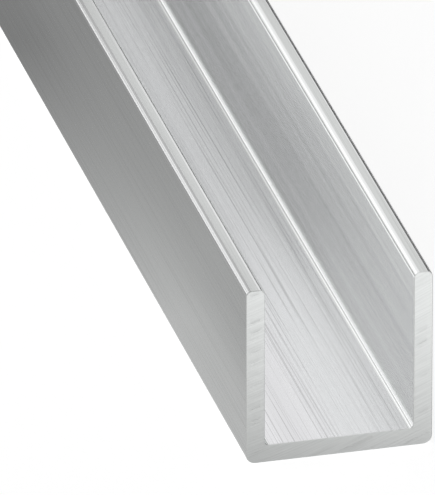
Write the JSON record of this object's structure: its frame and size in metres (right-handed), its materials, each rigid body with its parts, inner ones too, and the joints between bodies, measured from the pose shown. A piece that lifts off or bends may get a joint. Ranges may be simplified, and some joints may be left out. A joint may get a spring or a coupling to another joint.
{
  "type": "aluminium u-channel bar",
  "caption": "Straight bar of extruded aluminium with a square U section: a flat web and two plain flanges with rounded edges, sawn square at both ends.",
  "frame": {"origin": "middle of the underside of the web, half way along the bar", "axes": "+Y along the bar, +Z out of the open side of the channel, +X across the two flanges"},
  "size_m": [0.02, 1, 0.02],
  "materials": {
    "mill_finish_aluminium": "mill finish, as extruded, with die lines along the bar and saw marks across its ends"
  },
  "bodies": {
    "root": {"u_channel": "mill_finish_aluminium"}
  },
  "joints": []
}
